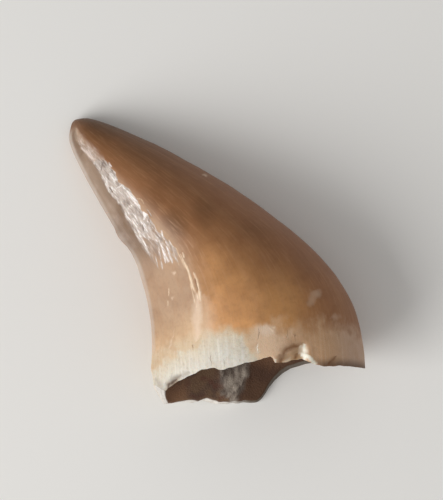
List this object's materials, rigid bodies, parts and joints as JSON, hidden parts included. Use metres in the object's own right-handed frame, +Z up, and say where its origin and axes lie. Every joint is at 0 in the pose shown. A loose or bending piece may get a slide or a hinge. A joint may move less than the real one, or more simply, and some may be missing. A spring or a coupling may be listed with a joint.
{
  "type": "fossil mosasaur tooth",
  "caption": "Fossil marine reptile tooth: a curved, pointed brown enamel crown with a flaked rear face, a chalky band at its broken base and an open conical pulp cavity.",
  "frame": {"origin": "on the surface the tooth lies on, under the middle of its outline", "axes": "+Z up from that surface through the crown's thickness, +Y from the broken base towards the tip, +X towards the convex front edge; the tip curves back to -X"},
  "size_m": [0.035, 0.0342, 0.0157],
  "materials": {
    "enamel": "satin"
  },
  "bodies": {
    "root": {"tooth": "enamel"}
  },
  "joints": []
}
